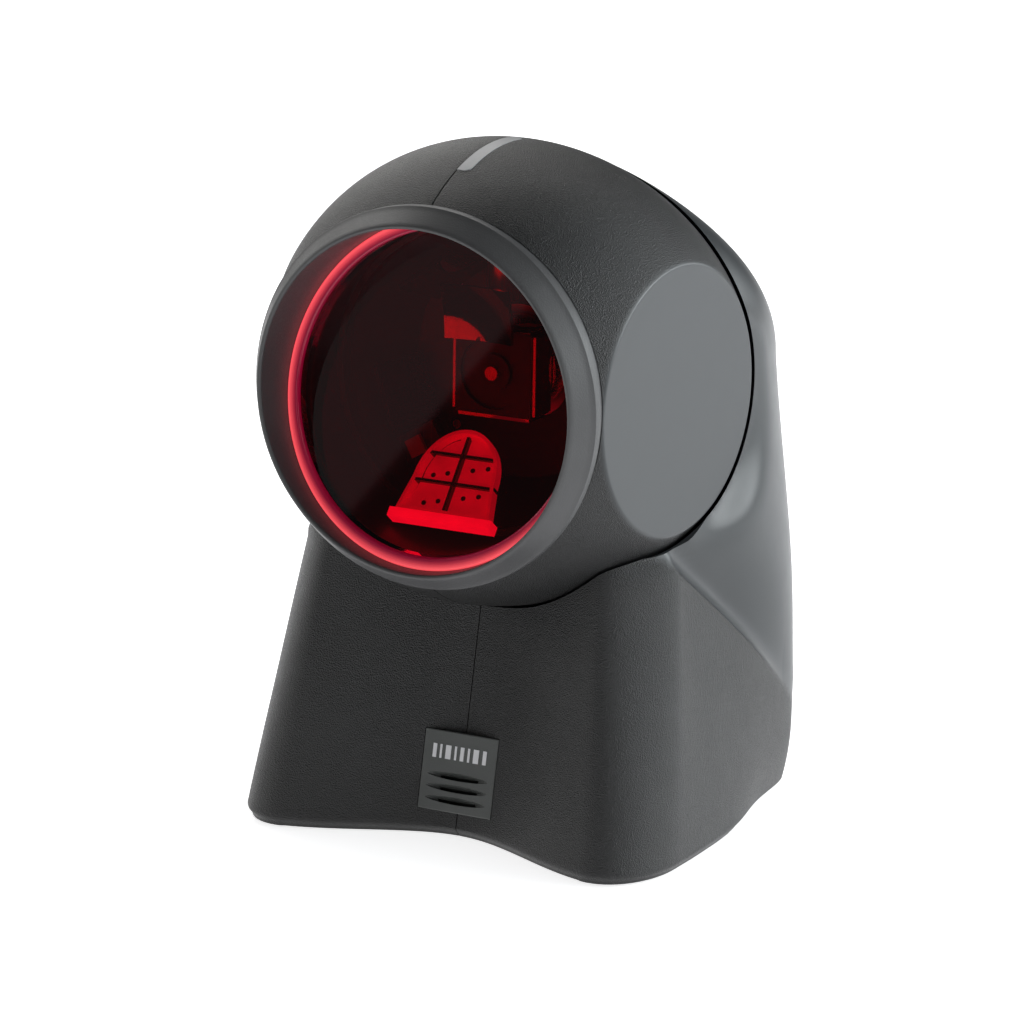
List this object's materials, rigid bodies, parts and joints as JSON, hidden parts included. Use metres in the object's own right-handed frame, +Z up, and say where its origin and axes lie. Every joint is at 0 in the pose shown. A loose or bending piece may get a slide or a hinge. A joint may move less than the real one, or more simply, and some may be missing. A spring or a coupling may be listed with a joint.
{
  "type": "presentation barcode scanner",
  "caption": "Hands-free omnidirectional laser barcode scanner: a round head with a tilted red window and flat side discs, tilting in a hooded counter-top stand",
  "frame": {"origin": "centre of the footprint, on the surface that the feet rest on", "axes": "+Z up, -Y the way the window faces, +X to the right seen along +Y; mirror-symmetric about X = 0 outside, but for the indicator light and the screw wells"},
  "size_m": [0.1032, 0.102, 0.1509],
  "materials": {
    "textured_plastic": "fine texture",
    "satin_plastic": "satin",
    "inner_plastic": "satin",
    "structure_plastic": "satin",
    "rubber": "matte",
    "foam_rubber": "matte",
    "ballast": "as cast",
    "screw_steel": "zinc plated",
    "bracket_steel": "galvanised",
    "pin_steel": "ground",
    "slip_plastic": "smooth",
    "print_white": "printed",
    "cone_paper": "matte",
    "board_green": "solder mask",
    "chip_black": "satin",
    "gold_contact": "polished",
    "brass_insert": "turned",
    "red_window": "polished, red tint",
    "light_pipe": "frosted",
    "led_lens": "clear",
    "mirror": "polished",
    "red_plastic": "gloss",
    "copper_coil": "enamelled wire"
  },
  "bodies": {
    "stand": {"stand_shell_left": "textured_plastic", "stand_shell_right": "textured_plastic", "base_plate": "inner_plastic", "rubber_feet": "rubber", "ballast_weight": "ballast", "neck_frame": "structure_plastic", "neck_screws": "screw_steel", "tilt_bracket": "bracket_steel", "bracket_screws": "screw_steel", "pivot_pins": "pin_steel", "friction_washers": "slip_plastic", "speaker_badge": "satin_plastic", "badge_bars": "print_white", "speaker_gasket": "foam_rubber", "speaker_frame": "bracket_steel", "speaker_cone": "cone_paper", "interface_board": "board_green", "interface_chips": "chip_black", "board_screws": "screw_steel", "modular_jack": "inner_plastic", "jack_contacts": "gold_contact", "threaded_inserts": "brass_insert", "base_plate_screws": "screw_steel", "stand_screws": "screw_steel"},
    "head": {"head_shell_left": "textured_plastic", "head_shell_right": "textured_plastic", "head_screws": "screw_steel", "pivot_bushes": "slip_plastic", "window_bezel": "satin_plastic", "window": "red_window", "light_pipe": "light_pipe", "indicator_board": "board_green", "indicator_leds": "led_lens", "optics_chassis": "inner_plastic", "pattern_mirrors": "mirror", "ribbed_mirror_holder": "red_plastic", "holder_ledge": "red_plastic", "collector_mirror": "mirror", "laser_barrel": "brass_insert", "laser_lens": "led_lens", "detector_board": "board_green", "detector_filter": "red_plastic", "main_board": "board_green", "main_board_chips": "chip_black", "cable_connector": "slip_plastic", "chassis_screws": "screw_steel", "motor_base": "bracket_steel", "motor_stator": "copper_coil", "motor_bearing": "brass_insert"},
    "mirror_rotor": {"rotor_cup": "pin_steel", "mirror_wheel": "inner_plastic", "wheel_mirrors": "mirror", "motor_shaft": "pin_steel"}
  },
  "joints": [
    {"name": "head_tilt", "type": "hinge", "parent": "stand", "child": "head", "pos_m": [0, -0.0135, 0.1006], "axis": [1, 0, 0], "range_deg": [-15, 15]},
    {"name": "polygon_spin", "type": "hinge", "parent": "head", "child": "mirror_rotor", "pos_m": [0, -0.0115, 0.1006], "axis": [0, -1, 0], "continuous": true}
  ]
}
